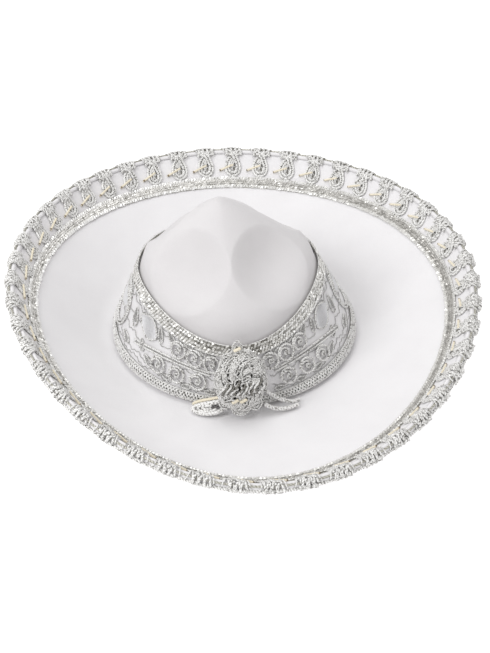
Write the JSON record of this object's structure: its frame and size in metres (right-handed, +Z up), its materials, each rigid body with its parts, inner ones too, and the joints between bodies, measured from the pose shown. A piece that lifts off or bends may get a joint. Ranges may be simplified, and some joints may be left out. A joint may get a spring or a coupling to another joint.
{
  "type": "sombrero",
  "caption": "Wide-brimmed white felt sombrero with a peaked dented crown, turned-up rim with crocheted silver edging, an embroidered hatband and a front knot.",
  "frame": {"origin": "on the resting plane, the flat underside round the head opening, below the middle of the brim", "axes": "+Z up through the crown, the front with its knot faces -Y, +X to the right of someone who looks at the front"},
  "size_m": [0.4333, 0.4877, 0.1512],
  "materials": {
    "white_felt": "matt pressed felt, stiffened, faint cool white",
    "white_satin": "smooth satin weave with a soft sheen",
    "silver_thread": "braided and crocheted metallised yarn with bright flecks",
    "silver_sequin": "ribbon of small foil flakes, bright and dark by turns",
    "steel_wire": "drawn hoop wire, hidden in the rim",
    "cotton_twill": "matt cotton twill tape"
  },
  "bodies": {
    "root": {"band_lower_braid": "silver_thread", "band_upper_braid": "silver_sequin", "brim_lower_felt": "white_felt", "brim_upper_felt": "white_felt", "crochet_edging": "silver_thread", "crown_felt": "white_felt", "front_knot": "silver_thread", "hatband": "white_satin", "left_back_leaf": "silver_thread", "left_fan_leaf": "silver_thread", "left_long_leaf": "silver_thread", "left_lower_rosette_1": "silver_thread", "left_lower_rosette_2": "silver_thread", "left_lower_rosette_3": "silver_thread", "left_stem_cord": "silver_thread", "left_upper_rosette_1": "silver_thread", "left_upper_rosette_2": "silver_thread", "left_upper_rosette_3": "silver_thread", "right_back_leaf": "silver_thread", "right_fan_leaf": "silver_thread", "right_long_leaf": "silver_thread", "right_lower_rosette_1": "silver_thread", "right_lower_rosette_2": "silver_thread", "right_lower_rosette_3": "silver_thread", "right_stem_cord": "silver_thread", "right_upper_rosette_1": "silver_thread", "right_upper_rosette_2": "silver_thread", "right_upper_rosette_3": "silver_thread", "rim_binding": "white_satin", "rim_hoop_wire": "steel_wire", "rim_twisted_rope": "silver_thread", "sequin_ribbon": "silver_sequin", "sweatband": "cotton_twill"},
    "bow_loop": {"bow_loop": "silver_thread"},
    "cord_tails": {"upper_cord_tail": "silver_thread", "lower_cord_tail": "silver_thread"}
  },
  "joints": [
    {"name": "bow_loop_lift", "type": "hinge", "parent": "root", "child": "bow_loop", "pos_m": [-0.0292, -0.116, 0.0205], "axis": [0, 1, 0], "range_deg": [0, 35]},
    {"name": "cord_tails_lift", "type": "hinge", "parent": "root", "child": "cord_tails", "pos_m": [0.0053, -0.117, 0.021], "axis": [0, -1, 0], "range_deg": [0, 35]}
  ]
}
